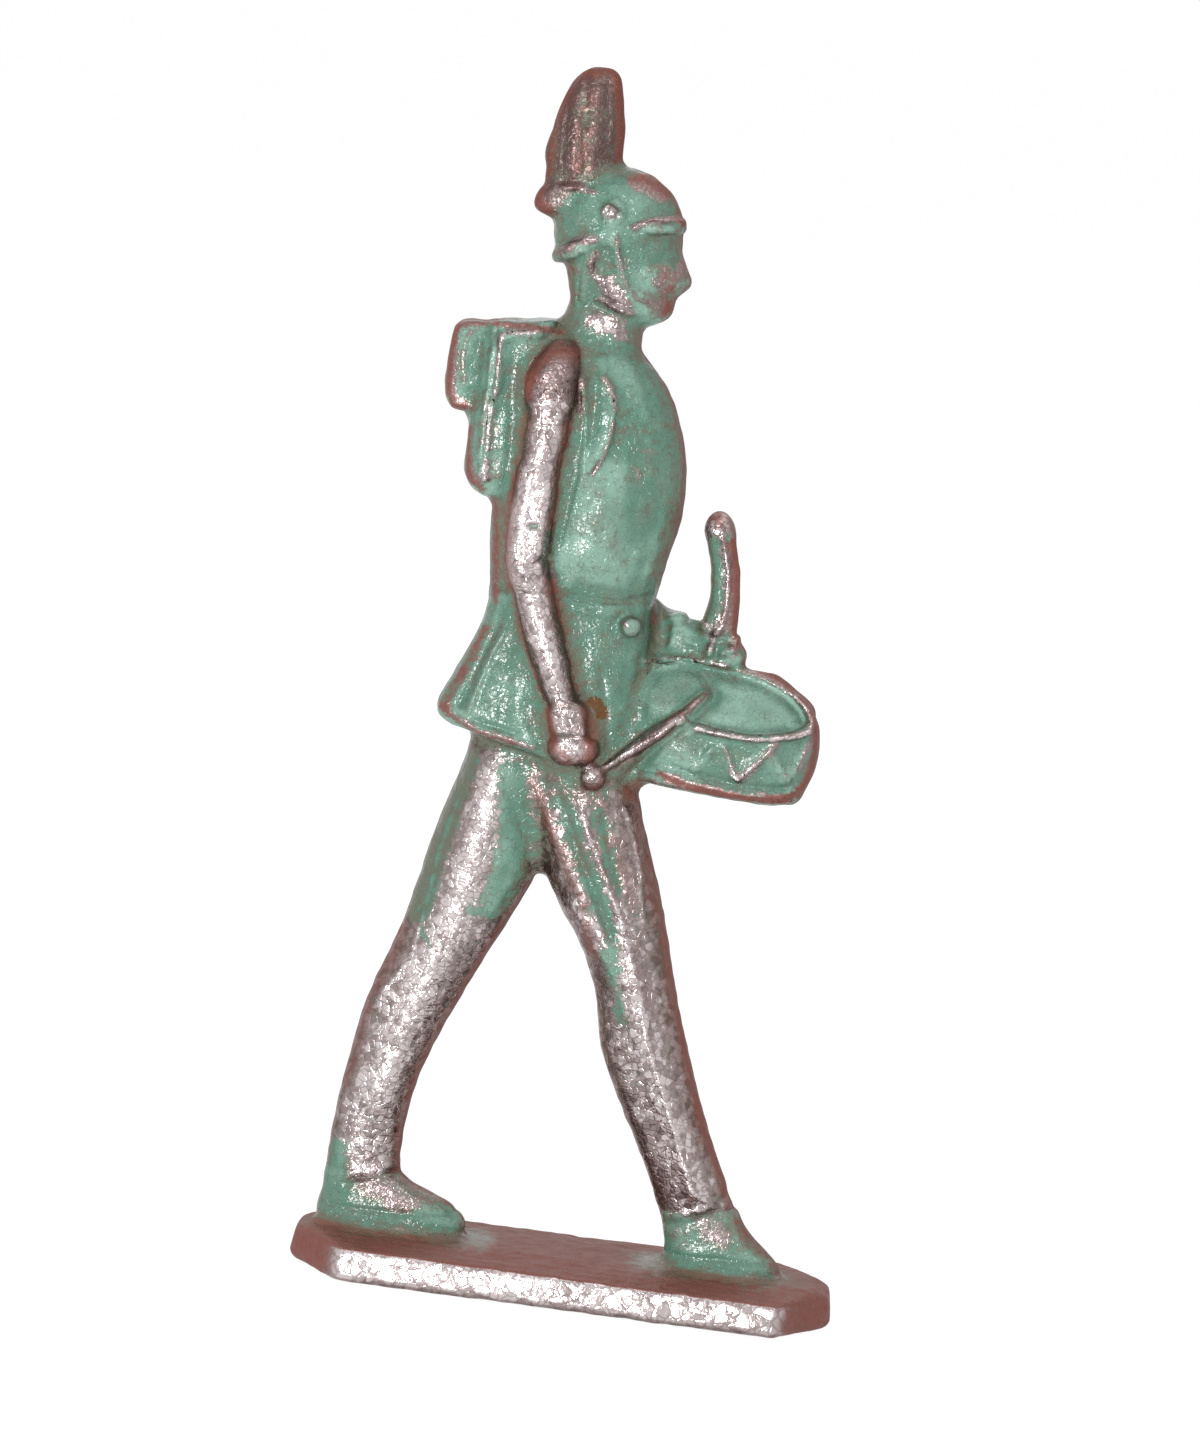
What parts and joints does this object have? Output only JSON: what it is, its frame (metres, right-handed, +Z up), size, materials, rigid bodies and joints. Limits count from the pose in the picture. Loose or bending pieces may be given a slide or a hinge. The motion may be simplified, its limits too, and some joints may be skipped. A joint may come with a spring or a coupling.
{
  "type": "toy soldier figure",
  "caption": "Semi-flat cast toy soldier: a marching drummer with a plumed helmet, knapsack and drum, one stick raised, standing on a six-sided base with turned-under edges.",
  "frame": {"origin": "middle of the base's underside, on the surface that the figure stands on", "axes": "+X the way the figure marches, along the base; +Y away from the side that the picture shows, square to the mould's parting plane; +Z up"},
  "size_m": [0.028, 0.011, 0.0622],
  "materials": {
    "worn_enamel": "green enamel, crackled, dulled and rubbed through to white metal on every edge",
    "rubbed_metal": "cast white metal rubbed bright on its crests, with green enamel left in its creases",
    "tarnished_metal": "cast white metal tarnished reddish brown, with streaks of green enamel",
    "base_metal": "bare cast white metal, rough and pitted, bright on its front edge"
  },
  "bodies": {
    "root": {"base_plate": "base_metal", "rear_boot": "worn_enamel", "front_boot": "worn_enamel", "rear_leg": "rubbed_metal", "front_leg": "rubbed_metal", "coat_skirt": "worn_enamel", "waist_belt": "worn_enamel", "tunic": "worn_enamel", "collar": "rubbed_metal", "head": "worn_enamel", "hair": "tarnished_metal", "helmet_shell": "worn_enamel", "helmet_peak": "tarnished_metal", "neck_guard": "tarnished_metal", "helmet_bosses": "rubbed_metal", "chin_straps": "rubbed_metal", "plume_socket": "tarnished_metal", "plume": "tarnished_metal", "right_shoulder_wing": "tarnished_metal", "right_sleeve": "rubbed_metal", "right_cuff": "rubbed_metal", "right_hand": "rubbed_metal", "right_drumstick": "rubbed_metal", "left_shoulder_wing": "tarnished_metal", "left_sleeve": "rubbed_metal", "left_cuff": "worn_enamel", "left_hand": "rubbed_metal", "left_drumstick": "rubbed_metal", "drum_shell": "worn_enamel", "drum_head": "worn_enamel", "drum_top_hoops": "rubbed_metal", "drum_bottom_hoop": "rubbed_metal", "drum_cords": "rubbed_metal", "drum_slings": "worn_enamel", "sling_button": "rubbed_metal", "knapsack_box": "worn_enamel", "knapsack_roll": "worn_enamel", "knapsack_piping": "rubbed_metal"}
  },
  "joints": []
}
